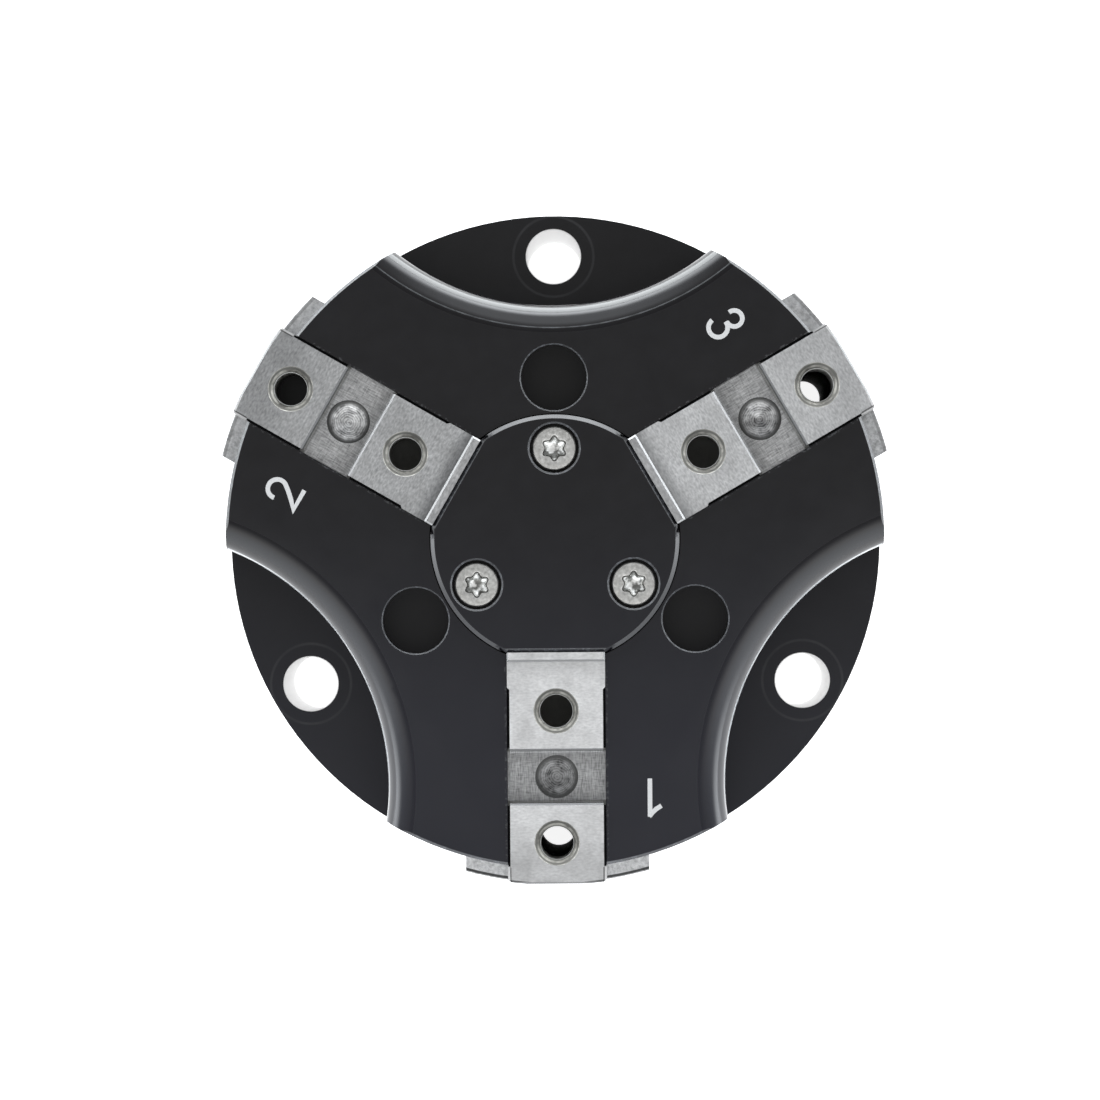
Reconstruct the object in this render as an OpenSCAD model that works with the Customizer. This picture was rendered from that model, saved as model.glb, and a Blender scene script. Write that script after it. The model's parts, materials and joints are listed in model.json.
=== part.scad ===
// Three-jaw centric gripper, pneumatic, with a wedge-hook drive.
// Origin: centre of the base face. +Z points to the jaws. Millimetres.
// Jaw 1 slides along -Y, jaw 2 at 150 degrees, jaw 3 at 30 degrees.

/* [Housing] */
// Outer diameter of the housing
body_d = 100; // [98:0.5:104]
// Height of the housing from base face to top face
body_h = 64; // [64:0.5:70]
// Chamfer of the outer edges
edge_chamfer = 0.4; // [0.2:0.1:0.8]
// Height of the three mounting lobes
lobe_h = 44; // [38:1:46]
// Radius of the arc that is milled away above each lobe
lobe_cut_r = 39; // [37:0.5:41]
// Distance from the axis to the wall above a lobe
lobe_wall = 35.6; // [35.2:0.1:36.6]
// Radius of the rounded edge along that wall
lobe_round = 4; // [2:0.5:5]
// Pitch circle diameter of the mounting holes
mount_pcd = 87.5; // [86:0.5:88]
// Diameter of the mounting holes, clearance for M8
mount_hole_d = 8.4; // [8.2:0.1:9]
// Pitch circle diameter of the accessory bores
accessory_pcd = 49; // [48:0.5:50]
// Diameter of the accessory bores
accessory_d = 10; // [8:0.5:10]
// Depth of the accessory bores
accessory_depth = 8; // [6:0.5:9]

/* [Jaws] */
// Width of the slot that each jaw runs in
slot_w = 15; // [14:0.5:15.5]
// Width of the T-shaped guide below the top face
guide_w = 28; // [26:0.5:28]
// Height of the guide flange
guide_h = 7; // [6:0.5:8]
// Distance from the axis to a jaw's inner end, jaws closed
jaw_inner = 17.2; // [17.1:0.1:18]
// Distance from the axis to a jaw's outer end, jaws closed
jaw_outer = 52.3; // [51:0.1:54]
// Distance from the axis to the middle of the jaw's cross groove
groove_at = 36.1; // [35:0.1:37]
// Distance between the two tapped holes of a jaw
jaw_pitch = 20; // [19:0.5:21]
// Core diameter of the tapped holes in the jaws, M6
jaw_tap_d = 5; // [4.9:0.05:5.2]
// Travel of each jaw
jaw_stroke = 6; // [4:0.5:6]

/* [Drive] */
// Travel of the piston
piston_stroke = 9; // [8.5:0.5:9]
// Diameter of the cylinder bore
bore_d = 62; // [58:0.5:63]
// Diameter of the piston rod
rod_d = 20; // [18:0.5:20]
// Thickness of the piston
piston_h = 7.5; // [7:0.1:7.5]

/* [Centre cover] */
// Diameter of the round part of the cover
cover_d = 38; // [37.6:0.1:38.1]
// Distance from the axis to the three flats that face the jaws
cover_flat = 16.85; // [16:0.05:16.9]
// Thickness of the cover
cover_h = 6; // [5:0.1:6]
// Pitch circle diameter of the cover screws
cover_pcd = 27.5; // [27:0.1:28]

/* [Hidden] */
$fn = 96;

jaw_angles = [270, 150, 30];
lobe_angles = [90, 210, 330];
port_angles = [138, 162];
sensor_angles = [270, 30];
dowel_angles = [60, 240];

fit = 0.05;            // running clearance per side
over = 1;              // how far a cutter passes the face it opens
lobe_crease = 0.25;    // how far the centre of the lobe's rounding is set back
body_r = body_d / 2;
bore_r = bore_d / 2;
rod_r = rod_d / 2;

// guide and jaw
guide_z = body_h - 15.5;
jaw_top = body_h + 0.5;
jaw_reach = jaw_outer + 0.2;
land_half = 7.1;
land_step_z = jaw_top - 2.5;
land_from = jaw_inner + 5.3;
groove_w = 8;
groove_depth = 2.5;
groove_round = 0.4;
groove_chamfer = 0.3;
spot_r = 3.2;
spot_depth = 1.6;
spot_tip_r = 0.2;
spot_tip_h = 0.8;
lip_w = 1.4;
lip_rise = 0.4;
lip_chamfer = 0.3;
lip_side_chamfer = 0.25;
lip_top = jaw_top + lip_rise;
tap_mouth_r = 3.45;
tap_mouth_h = 0.95;
tap_inner_depth = 13.5;
end_gap = 0.2;         // slot and guide reach this far past the jaw's inner end

// cylinder and hook chamber
cover_z = body_h - cover_h;
cover_rim = 0.85;
cover_edge = 0.4;
floor_z = 31;
roof_z = 25.5;
cylinder_z = 8;
recess_r = 34;
core_r = 10.3;
slot_reach = 32;

// piston and its rings
piston_z = 8.5;
piston_top = piston_z + piston_h;
piston_r = bore_r - 0.1;
piston_edge = 1.2;
guide_ring_z = piston_z + 1.6;
guide_ring_h = 2;
guide_ring_depth = 1.5;
piston_seal_z = piston_z + 4.3;
piston_seal_h = 1.9;
piston_seal_depth = 2.6;
piston_oring_at = 7.2;
piston_oring_r = 0.66;
piston_oring_half = 0.9;
piston_oring_depth = 1.4;

// screw that ties the piston to the rod
tie_seat = piston_z + 4.4;
tie_head_r = 6.5;
tie_head_h = 4;
tie_shank_r = 4;
tie_core_r = 3.35;
tie_thread_h = 14;
tie_key = 5.8;
tie_key_depth = 2.4;

// wedge: the jaw moves out by jaw_stroke while the hook rises by piston_stroke
slope = jaw_stroke / piston_stroke;
hook_top = guide_z;
hook_foot = floor_z + 0.5;
leg_foot = 35;
head_from = 5.5;
head_to = 9;
web_to = 12;
leg_outer = 25.5;
head_half = 4.6;
web_half = 2.6;
hook_gap = 0.1;
hook_lap = 0.2;        // how far the web of a hook runs into its head and leg
arm_half = slot_w / 2 - 0.2;
arm_gap = 0.4;
leg_half = slot_w / 2 - 0.1;

// air ports and other small bores
port_z = 16;
port_r = 2.1;
port_depth = 8;
drill_r = 1.6;
port_a_z = cylinder_z + 1.6;
port_b_z = roof_z - 1.4;
plug_at = 40.2;
plug_depth = 6;
plug_h = 5;
plug_sunk = 0.6;
plug_key = 2.9;
plug_key_depth = 2;
passage_r = 1.2;
dowel_r = 2.5;
dowel_at = 42.5;
dowel_depth = 8;
sensor_r = 2.7;
sensor_at = 45.6;

// screws
screw_head_r = 3.4;
screw_head_h = 2.6;
screw_seat_r = 3.75;
screw_seat_chamfer = 0.28;
screw_seat_h = 3;
screw_core_r = 1.65;
screw_neck_r = 2;
screw_hole_r = 2.2;
screw_tap_depth = 12;
screw_tip_gap = 2;
screw_edge = 0.3;
star_r = 1.8;
star_lobe_r = 0.45;
star_core_r = 1.25;
star_depth = 1.5;

// circlip
clip_z = 0.8;
clip_h = 2.5;
clip_r = 35.5;
clip_inner_r = 31.6;
clip_shift = 1;
clip_half_angle = 12;
clip_ear_angle = clip_half_angle + 4;
clip_ear_at = 30.2;
clip_ear_r = 3;
clip_neck_half = 2.4;
clip_neck = 3.6;
clip_hole_r = 1.25;

// cover of the cylinder and its ring
lid_z = clip_z + clip_h + fit;
lid_r = recess_r - 0.1;
lid_groove_z = lid_z + 1.35;
lid_groove_h = 2.3;
lid_groove_depth = 1.9;
lid_recess_r = 24;
lid_recess_h = 0.8;
oring_r = 0.93;
oring_at = recess_r - 1.03;

// rod seal and bumpers
seal_z = 27;
seal_h = 2.8;
seal_r = 12.5;
seal_base = 1.2;
seal_lip = 1.1;
seal_lip_tip = 0.6;
seal_heel = 0.7;
bumper_from = 18;
bumper_to = 22;
bumper_h = 1.5;
bumper_sunk = 1.2;

// ---------- helpers ----------

// copies of the children turned to each angle about the axis
module at_angles(angles) {
    for (a = angles) rotate([0, 0, a]) children();
}

// a profile in (radius, height), extruded sideways to +-half
module across(half) {
    translate([0, half, 0]) rotate([90, 0, 0]) linear_extrude(2 * half) children();
}

// a ring with a square section
module ring(r_in, r_out, z, h) {
    translate([0, 0, z]) difference() {
        cylinder(r = r_out, h = h);
        translate([0, 0, -over]) cylinder(r = r_in, h = h + 2 * over);
    }
}

// a ring with a round section
module round_ring(r_mid, r_section, z) {
    translate([0, 0, z]) rotate_extrude() translate([r_mid, 0]) circle(r = r_section);
}

// slanted band between two radii at the hook's top height, from one height to another
module slanted(from, to, z_low, z_high) {
    low = slope * (hook_top - z_low);
    high = slope * (hook_top - z_high);
    polygon([[from + low, z_low], [to + low, z_low], [to + high, z_high], [from + high, z_high]]);
}

// ---------- housing ----------

module body_blank() {
    c = edge_chamfer;
    rotate_extrude() polygon([[0, 0], [body_r - c, 0], [body_r, c],
        [body_r, body_h - c], [body_r - c, body_h], [0, body_h]]);
}

// what is milled away above a mounting lobe, with the rounded edge of the wall;
// the arc meets the wall and the top face at a slight angle, lobe_crease
module lobe_cut() {
    arc_r = sqrt(pow(lobe_round + lobe_crease, 2) + pow(lobe_crease, 2));
    edge_z = body_h - lobe_round;
    translate([lobe_wall + lobe_cut_r, 0, 0]) rotate_extrude() difference() {
        translate([0, lobe_h]) square([lobe_cut_r + lobe_round, body_h - lobe_h + over]);
        translate([lobe_cut_r, lobe_h - over]) square([lobe_round + over, edge_z - lobe_h + over]);
        intersection() {
            translate([lobe_cut_r + lobe_round + lobe_crease, edge_z - lobe_crease])
                circle(r = arc_r);
            translate([lobe_cut_r, edge_z - over]) square([lobe_round + over, lobe_round + over]);
        }
    }
}

module jaw_slot() {
    translate([0, -slot_w / 2, floor_z]) cube([slot_reach, slot_w, body_h]);
    translate([0, -slot_w / 2, guide_z - fit]) cube([body_r + over, slot_w, body_h]);
    translate([jaw_inner - end_gap, -guide_w / 2 - fit, guide_z - fit])
        cube([body_r, guide_w + 2 * fit, guide_h + 2 * fit]);
}

// recess for the centre cover
module cover_recess() {
    translate([0, 0, cover_z]) cylinder(r = cover_d / 2 + fit, h = cover_h + over);
}

// a bore with a small chamfer at its mouth, opening upwards at height z
module chamfered_bore(r, depth, z, chamfer = 0.2) {
    translate([0, 0, z - depth]) cylinder(r = r, h = depth + over);
    translate([0, 0, z - chamfer]) cylinder(r1 = r, r2 = r + chamfer + over, h = chamfer + over);
}

// slanted air way from a side port's drilling to the cylinder, ending at height z_end
module air_way(z_end) {
    reach = plug_at - bore_r;
    drop = port_z - z_end;
    translate([bore_r - 0.5, 0, z_end]) rotate([0, 90 - atan2(drop, reach), 0])
        cylinder(r = passage_r, h = norm([reach, drop]));
}

// tapped side port, tapped base port and the drillings that join them
module side_port(z_end) {
    translate([body_r - port_depth, 0, port_z]) rotate([0, 90, 0])
        cylinder(r = port_r, h = port_depth + over);
    translate([plug_at - drill_r, 0, port_z]) rotate([0, 90, 0])
        cylinder(r = drill_r, h = body_r - plug_at);
    translate([plug_at, 0, -over]) cylinder(r = port_r, h = plug_depth + over);
    translate([plug_at, 0, 0]) cylinder(r = drill_r, h = port_z);
    air_way(z_end);
}

module base_side() {
    translate([0, 0, -over]) cylinder(r = recess_r, h = cylinder_z + over);
    translate([0, 0, clip_z]) cylinder(r = clip_r, h = clip_h + fit);
    translate([0, 0, cylinder_z - over]) cylinder(r = bore_r, h = roof_z - cylinder_z + over);
    ring(bumper_from - fit, bumper_to + fit, roof_z - over, over + bumper_sunk + 2 * fit);
    translate([0, 0, roof_z - over]) cylinder(r = rod_r + fit, h = body_h);
    translate([0, 0, seal_z]) cylinder(r = seal_r, h = seal_h);
    translate([0, 0, floor_z]) cylinder(r = core_r, h = body_h);
}

module housing() {
    color([0.17, 0.17, 0.19]) difference() {
        // the revolve starts inside the slot of jaw 3, clear of the lobes
        rotate([0, 0, jaw_angles[2]]) body_blank();
        at_angles(lobe_angles) {
            lobe_cut();
            translate([mount_pcd / 2, 0, -over]) cylinder(d = mount_hole_d, h = body_h);
            translate([accessory_pcd / 2, 0, 0])
                chamfered_bore(accessory_d / 2, accessory_depth, body_h);
            translate([cover_pcd / 2, 0, cover_z - screw_tap_depth])
                cylinder(r = screw_core_r, h = screw_tap_depth + over);
        }
        at_angles(jaw_angles) jaw_slot();
        at_angles(sensor_angles) translate([sensor_at, 0, -over])
            cylinder(r = sensor_r, h = guide_z + over);
        at_angles(dowel_angles) translate([dowel_at, 0, -over])
            cylinder(r = dowel_r, h = dowel_depth + over);
        rotate([0, 0, port_angles[0]]) side_port(port_a_z);
        rotate([0, 0, port_angles[1]]) side_port(port_b_z);
        cover_recess();
        base_side();
    }
}

// ---------- pieces fixed in the housing ----------

module centre_cover() {
    c = cover_edge;
    color([0.17, 0.17, 0.19]) difference() {
        // a disc with a wide chamfer round its top edge
        translate([0, 0, cover_z]) rotate_extrude() polygon([[0, 0], [cover_d / 2, 0],
            [cover_d / 2, cover_h - cover_rim], [cover_d / 2 - cover_rim, cover_h], [0, cover_h]]);
        // the flats, with a small chamfer along their top edges
        at_angles(jaw_angles) across(cover_d) polygon([[cover_flat, cover_z - over],
            [cover_flat, body_h - c], [cover_flat - c, body_h], [cover_flat - c, body_h + over],
            [cover_d, body_h + over], [cover_d, cover_z - over]]);
        at_angles(lobe_angles) translate([cover_pcd / 2, 0, 0]) {
            translate([0, 0, cover_z - over]) cylinder(r = screw_hole_r, h = cover_h + over);
            chamfered_bore(screw_seat_r, screw_seat_h, body_h, screw_seat_chamfer);
        }
    }
}

// socket of a cover screw in plan: a star with six round lobes
module star() {
    circle(r = star_core_r);
    for (k = [0:5]) rotate([0, 0, 60 * k])
        translate([star_r - star_lobe_r, 0]) circle(r = star_lobe_r);
}

module cover_screw() {
    seat = body_h - screw_seat_h;
    head_top = seat + screw_head_h;
    tip = cover_z - screw_tap_depth + screw_tip_gap;
    translate([0, 0, tip]) cylinder(r = screw_core_r - fit, h = cover_z - tip);
    translate([0, 0, cover_z]) cylinder(r = screw_neck_r, h = seat - cover_z);
    difference() {
        union() {
            translate([0, 0, seat]) cylinder(r = screw_head_r, h = screw_head_h - screw_edge);
            translate([0, 0, head_top - screw_edge])
                cylinder(r1 = screw_head_r, r2 = screw_head_r - screw_edge, h = screw_edge);
        }
        translate([0, 0, head_top - star_depth]) linear_extrude(star_depth + over) star();
    }
}

module cover_screws() {
    color([0.78, 0.77, 0.74]) at_angles(lobe_angles) translate([cover_pcd / 2, 0, 0]) cover_screw();
}

module cylinder_cover() {
    color([0.17, 0.17, 0.19]) difference() {
        translate([0, 0, lid_z]) cylinder(r = lid_r, h = cylinder_z - lid_z);
        ring(lid_r - lid_groove_depth, lid_r + over, lid_groove_z, lid_groove_h);
        ring(bumper_from - fit, bumper_to + fit, cylinder_z - bumper_sunk, bumper_sunk + over);
        // turned recess in the outer face
        translate([0, 0, lid_z - over]) cylinder(r = lid_recess_r, h = over + lid_recess_h);
    }
}

module cylinder_cover_o_ring() {
    color([0.06, 0.06, 0.06]) round_ring(oring_at, oring_r, lid_groove_z + lid_groove_h / 2);
}

// internal circlip: open ring with two pierced ears
module retaining_ring() {
    color([0.25, 0.25, 0.27]) translate([0, 0, clip_z]) rotate([0, 0, 270]) difference() {
        union() {
            difference() {
                cylinder(r = clip_r - fit, h = clip_h);
                translate([clip_shift, 0, -over]) cylinder(r = clip_inner_r, h = clip_h + 2 * over);
                translate([0, 0, -over]) linear_extrude(clip_h + 2 * over) polygon([[0, 0],
                    body_r * [cos(clip_half_angle), -sin(clip_half_angle)], [body_r + 2, 0],
                    body_r * [cos(clip_half_angle), sin(clip_half_angle)]]);
            }
            for (s = [-1, 1]) rotate([0, 0, s * clip_ear_angle]) {
                translate([clip_ear_at, 0, 0]) cylinder(r = clip_ear_r, h = clip_h);
                translate([clip_ear_at, -clip_neck_half, 0])
                    cube([clip_neck, 2 * clip_neck_half, clip_h]);
            }
        }
        for (s = [-1, 1]) rotate([0, 0, s * clip_ear_angle])
            translate([clip_ear_at, 0, -over]) cylinder(r = clip_hole_r, h = clip_h + 2 * over);
    }
}

// lip seal of the rod, in section
module rod_seal() {
    r = rod_r + fit;
    top = seal_z + seal_h - fit;
    color([0.10, 0.16, 0.30]) rotate_extrude() polygon([[r, seal_z + 0.2],
        [seal_r - fit, seal_z + fit], [seal_r - fit, top], [seal_r - seal_heel, top],
        [seal_r - seal_lip, seal_z + seal_base], [rod_r + seal_lip, seal_z + seal_base],
        [rod_r + seal_lip_tip, top], [r, top]]);
}

module upper_bumper() {
    color([0.45, 0.22, 0.10])
        ring(bumper_from, bumper_to, roof_z + bumper_sunk - bumper_h, bumper_h);
}

module lower_bumper() {
    color([0.45, 0.22, 0.10])
        ring(bumper_from, bumper_to, cylinder_z - bumper_sunk + fit, bumper_h);
}

// set screws with a hexagon socket that close the base ports
module port_plugs() {
    color([0.45, 0.45, 0.47]) at_angles(port_angles) translate([plug_at, 0, plug_sunk]) difference() {
        cylinder(r = port_r - 0.02, h = plug_h);
        translate([0, 0, -over]) cylinder(d = plug_key, h = plug_key_depth + over, $fn = 6);
    }
}

// ---------- pieces that move with the piston ----------

module piston() {
    c = piston_edge;
    color([0.72, 0.73, 0.75]) difference() {
        rotate_extrude() polygon([[0, piston_z], [piston_r - c, piston_z],
            [piston_r, piston_z + c], [piston_r, piston_top - c],
            [piston_r - c, piston_top], [0, piston_top]]);
        ring(piston_r - guide_ring_depth, bore_r, guide_ring_z, guide_ring_h);
        ring(piston_r - piston_seal_depth, bore_r, piston_seal_z, piston_seal_h);
        ring(piston_oring_at - piston_oring_half, piston_oring_at + piston_oring_half,
            piston_top - piston_oring_depth, piston_oring_depth + over);
        translate([0, 0, piston_z - over]) cylinder(r = tie_shank_r + 0.2, h = piston_h + 2 * over);
        translate([0, 0, piston_z - over]) cylinder(r = tie_head_r + 0.3, h = over + tie_seat - piston_z);
    }
}

module piston_seal() {
    z = piston_seal_z + fit;
    h = piston_seal_h - 2 * fit;
    r = piston_r - piston_seal_depth + 0.1;
    color([0.10, 0.16, 0.30]) rotate_extrude() polygon([[r, z], [bore_r - fit, z],
        [bore_r - 0.3, z + h / 2], [bore_r - fit, z + h], [r, z + h]]);
}

module piston_guide_ring() {
    color([0.25, 0.33, 0.25]) ring(piston_r - guide_ring_depth + 0.1, bore_r - fit,
        guide_ring_z + fit, guide_ring_h - 2 * fit);
}

module piston_o_ring() {
    color([0.06, 0.06, 0.06])
        round_ring(piston_oring_at, piston_oring_r, piston_top - piston_oring_depth / 2);
}

// hexagon socket screw through the piston into the rod
module piston_screw() {
    color([0.30, 0.30, 0.32]) difference() {
        union() {
            translate([0, 0, tie_seat - tie_head_h]) cylinder(r = tie_head_r, h = tie_head_h);
            translate([0, 0, tie_seat]) cylinder(r = tie_shank_r, h = piston_top - tie_seat);
            translate([0, 0, piston_top]) cylinder(r = tie_core_r, h = tie_thread_h);
        }
        translate([0, 0, tie_seat - tie_head_h - over])
            cylinder(d = tie_key, h = tie_key_depth + over, $fn = 6);
    }
}

// rod with three arms; each arm has a slanted T-slot that holds a jaw's hook
module wedge_hook() {
    color([0.55, 0.55, 0.57]) difference() {
        union() {
            translate([0, 0, piston_top]) cylinder(r = rod_r, h = hook_top - 0.5 - piston_top);
            at_angles(jaw_angles) across(arm_half) polygon([[0, hook_foot],
                [web_to - arm_gap + slope * (hook_top - hook_foot), hook_foot],
                [web_to - arm_gap, hook_top], [0, hook_top]]);
        }
        at_angles(jaw_angles) {
            across(head_half + hook_gap) slanted(head_from - hook_gap, head_to + hook_gap,
                hook_foot - over, hook_top + over);
            across(web_half + hook_gap) slanted(head_to, web_to + over,
                hook_foot - over, hook_top + over);
        }
        // tapped hole for the piston screw
        translate([0, 0, piston_top - over]) cylinder(r = tie_core_r + fit, h = tie_thread_h + 2 + over);
    }
}

// ---------- jaws ----------

// side view of a jaw above its hook, with the cross groove and the raised lip
module jaw_side() {
    c = groove_chamfer;
    difference() {
        polygon([[jaw_inner, guide_z], [jaw_reach, guide_z], [jaw_reach, guide_z + guide_h],
            [jaw_outer, guide_z + guide_h], [jaw_outer, jaw_top - c], [jaw_outer - c, jaw_top],
            [jaw_inner + lip_w, jaw_top], [jaw_inner + lip_w, lip_top - lip_chamfer],
            [jaw_inner + lip_w - lip_chamfer, lip_top], [jaw_inner, lip_top]]);
        translate([groove_at, jaw_top]) {
            translate([-groove_w / 2, groove_round - groove_depth]) square([groove_w, groove_depth]);
            translate([groove_round - groove_w / 2, -groove_depth])
                square([groove_w - 2 * groove_round, groove_depth]);
            for (s = [-1, 1]) {
                translate([s * (groove_w / 2 - groove_round), groove_round - groove_depth])
                    circle(r = groove_round);
                polygon([[s * (groove_w / 2 - over), 0], [s * (groove_w / 2 + c), 0],
                    [s * groove_w / 2, -c], [s * (groove_w / 2 - over), -c]]);
            }
        }
    }
}

// what is cut off along the two ends of the lip
module lip_sides() {
    full = slot_w / 2 - fit;
    c = lip_side_chamfer;
    for (s = [-1, 1]) translate([jaw_inner - over, 0, 0]) rotate([90, 0, 90])
        linear_extrude(lip_w + 2 * over) polygon([[s * (full - c), lip_top], [s * full, lip_top - c],
            [s * (full + over), lip_top - c], [s * (full + over), lip_top + over],
            [s * (full - c), lip_top + over]]);
}

// plan view of the lands: full width at the inner end, relieved along the rest
module land_plan() {
    full = slot_w / 2 - fit;
    step = full - land_half;
    polygon([[0, -full], [land_from, -full], [land_from + step, -land_half],
        [body_r + 10, -land_half], [body_r + 10, land_half], [land_from + step, land_half],
        [land_from, full], [0, full]]);
}

// slanted T-shaped hook below the jaw
module jaw_hook() {
    across(head_half) slanted(head_from, head_to, leg_foot, hook_top - fit);
    across(web_half) slanted(head_to - hook_lap, web_to + hook_lap, leg_foot, hook_top - fit);
    across(leg_half) polygon([[web_to + slope * (hook_top - leg_foot), leg_foot],
        [leg_outer, leg_foot], [leg_outer, guide_z + 0.5], [jaw_inner, guide_z + 0.5],
        [jaw_inner, guide_z - fit], [web_to + slope * fit, guide_z - fit]]);
}

module base_jaw() {
    full = slot_w / 2 - fit;
    difference() {
        union() {
            intersection() {
                across(guide_w) jaw_side();
                union() {
                    translate([0, -full, guide_z]) cube([body_r + 10, 2 * full, land_step_z - guide_z]);
                    translate([0, 0, land_step_z]) linear_extrude(10) land_plan();
                    translate([0, -guide_w / 2, guide_z]) cube([body_r + 10, guide_w, guide_h]);
                }
                cylinder(r = jaw_reach, h = 2 * body_h);
            }
            jaw_hook();
        }
        lip_sides();
        for (s = [-1, 1]) translate([groove_at + s * jaw_pitch / 2, 0, jaw_top - tap_mouth_h])
            cylinder(r1 = jaw_tap_d / 2, r2 = tap_mouth_r, h = tap_mouth_h);
        translate([groove_at - jaw_pitch / 2, 0, jaw_top - tap_inner_depth])
            cylinder(d = jaw_tap_d, h = tap_inner_depth + over);
        translate([groove_at + jaw_pitch / 2, 0, guide_z - over])
            cylinder(d = jaw_tap_d, h = jaw_top - guide_z + 2 * over);
        // blind spot hole in the groove's floor, with a flat drill point
        translate([groove_at, 0, jaw_top - groove_depth - spot_depth]) {
            cylinder(r = spot_r, h = spot_depth + over);
            translate([0, 0, -spot_tip_h]) cylinder(r1 = spot_tip_r, r2 = spot_r, h = spot_tip_h);
        }
    }
}

module base_jaw_1() {
    color([0.74, 0.74, 0.73]) rotate([0, 0, jaw_angles[0]]) base_jaw();
}

module base_jaw_2() {
    color([0.74, 0.74, 0.73]) rotate([0, 0, jaw_angles[1]]) base_jaw();
}

module base_jaw_3() {
    color([0.74, 0.74, 0.73]) rotate([0, 0, jaw_angles[2]]) base_jaw();
}

housing();
centre_cover();
cover_screws();
cylinder_cover();
cylinder_cover_o_ring();
retaining_ring();
rod_seal();
upper_bumper();
lower_bumper();
port_plugs();
piston();
piston_seal();
piston_guide_ring();
piston_screw();
piston_o_ring();
wedge_hook();
base_jaw_1();
base_jaw_2();
base_jaw_3();
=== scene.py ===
import json
import math
from types import SimpleNamespace

import bmesh
import bpy
from mathutils import Matrix, Vector


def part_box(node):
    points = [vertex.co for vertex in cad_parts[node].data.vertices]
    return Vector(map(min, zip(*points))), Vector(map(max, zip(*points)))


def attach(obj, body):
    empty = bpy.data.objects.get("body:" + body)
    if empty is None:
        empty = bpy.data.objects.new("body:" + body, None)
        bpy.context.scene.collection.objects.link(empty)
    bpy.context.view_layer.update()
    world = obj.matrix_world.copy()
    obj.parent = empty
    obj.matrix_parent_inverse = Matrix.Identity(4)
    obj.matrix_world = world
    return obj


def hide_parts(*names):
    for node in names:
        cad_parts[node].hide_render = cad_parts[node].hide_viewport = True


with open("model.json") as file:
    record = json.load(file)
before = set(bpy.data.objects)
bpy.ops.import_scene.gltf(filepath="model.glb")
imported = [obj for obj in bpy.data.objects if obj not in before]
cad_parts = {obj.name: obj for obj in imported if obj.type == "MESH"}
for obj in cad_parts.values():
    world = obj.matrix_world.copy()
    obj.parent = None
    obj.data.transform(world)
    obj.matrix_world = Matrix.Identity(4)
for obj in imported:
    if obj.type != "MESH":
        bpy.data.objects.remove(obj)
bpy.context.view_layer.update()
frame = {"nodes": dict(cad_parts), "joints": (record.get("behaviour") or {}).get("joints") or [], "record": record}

MM = 0.001
record = frame["record"]
mounts = {mount["name"]: mount for mount in record["mounts"]}
nodes = frame["nodes"]


# ---------- places ----------

def around(radius, angle):
    """A point in plan at a radius and an angle about the gripper's axis."""
    return Vector((radius * math.cos(angle), radius * math.sin(angle), 0.0))


def distance_from_axis(mount_name):
    place = mounts[mount_name]["pos_m"]
    return math.hypot(place[0], place[1])


jaw_angle = {}
for joint in frame["joints"]:
    if joint["name"].startswith("jaw_"):
        number = int(joint["name"].split("_")[1])
        jaw_angle[number] = math.atan2(joint["axis"][1], joint["axis"][0])
lobe_angle = [angle + math.pi for angle in jaw_angle.values()]

# housing: its lobes are cut by large arcs, whose upper edges are rounded; beyond back_part in Y
# lies only the lobe behind
base_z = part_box("housing")[0].z
top_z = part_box("housing")[1].z
body_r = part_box("housing")[1].x
mount_at = mounts["mounting_holes"]["dims"]["pcd_mm"] / 2 * MM
mount_r = mounts["mounting_holes"]["dims"]["hole_r_mm"] * MM
sensor_bore = distance_from_axis("sensor_bore_1")
slot_half = 7.5 * MM
lobe_cut_r = 39.0 * MM
lobe_centre = 35.6 * MM + lobe_cut_r
back_part = 20.0 * MM
digit_out = 39.2 * MM
digit_side = 14.6 * MM

# jaws: lip, inner land, groove with a spot hole, outer land
lip_rise = 0.4 * MM
lip_end = 18.6 * MM
jaw_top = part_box("base_jaw_1")[1].z - lip_rise
jaw_end = -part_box("base_jaw_1")[0].y
hole_inner = distance_from_axis("jaw_1_inner_thread")
hole_outer = distance_from_axis("jaw_1_outer_thread")
tap_r = mounts["jaw_1_inner_thread"]["dims"]["r_mm"] * MM
groove_at = (hole_inner + hole_outer) / 2
spot_r = 3.28 * MM

# centre cover: how far it stands proud of the solid, and how much its chamfer is narrowed
cover_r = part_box("centre_cover")[1].y
cover_chamfer = 0.95 * MM
rim_inner = cover_r - cover_chamfer
rim_outer = cover_r + 0.40 * MM
cover_proud = 0.8 * MM
rim_ease = 0.13 * MM
rim_lift = 0.31 * MM
flat_at = 16.7 * MM
flat_shift = 0.2 * MM

# cover screws
screw_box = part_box("cover_screws")
screw_head_r = 3.4 * MM
screw_at = screw_box[1].y - screw_head_r
socket_r = 1.98 * MM
socket_star = (0.74, 0.26, 1.05)


# ---------- camera, floor and light ----------

def make_camera():
    """A long lens straight above the gripper, a little towards jaw 1."""
    place = Vector((0.00535, -0.0113, top_z + 1.168))
    aim = Vector((-0.00076, -0.00168, top_z))
    turn = math.radians(0.43)
    look = (aim - place).normalized()
    right = look.cross(Vector((math.sin(turn), math.cos(turn), 0.0))).normalized()
    up = right.cross(look)
    data = bpy.data.cameras.new("studio_camera")
    data.sensor_width = 36.0
    data.lens = 252.0
    data.clip_end = 20.0
    camera = bpy.data.objects.new("studio_camera", data)
    bpy.context.scene.collection.objects.link(camera)
    camera.location = place
    camera.rotation_euler = Matrix((right, up, -look)).transposed().to_euler()
    bpy.context.scene.camera = camera


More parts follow.
